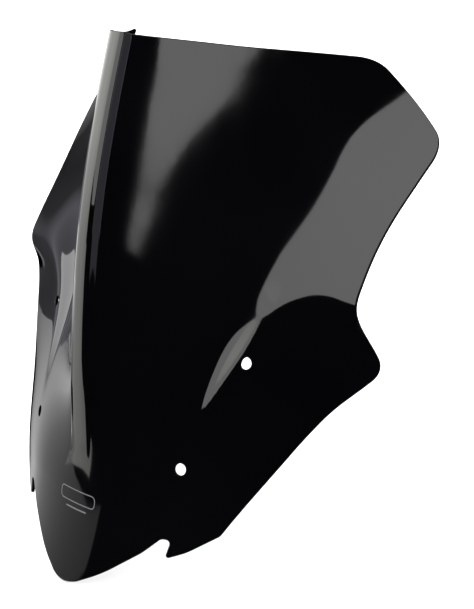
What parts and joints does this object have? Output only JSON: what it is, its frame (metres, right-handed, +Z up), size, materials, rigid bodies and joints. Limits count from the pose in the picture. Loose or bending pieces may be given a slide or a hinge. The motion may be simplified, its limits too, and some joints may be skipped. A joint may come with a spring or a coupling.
{
  "type": "motorcycle windscreen",
  "caption": "Smoked acrylic touring motorcycle windscreen, a swept shell with a raised spine rib, flared wings, side lugs and screw holes.",
  "frame": {"origin": "bottom centre of the screen's bounding box", "axes": "+X to the right as seen from in front of the motorcycle, across it; -Y forward, so the convex outer face looks along -Y; +Z up as fitted"},
  "size_m": [0.4294, 0.217, 0.4373],
  "materials": {
    "screen_panel": "dark smoked acrylic, polished both sides, nearly opaque",
    "printed_mark": "screen-printed ink, satin"
  },
  "bodies": {
    "root": {"screen_panel": "screen_panel", "printed_mark": "printed_mark"}
  },
  "joints": []
}
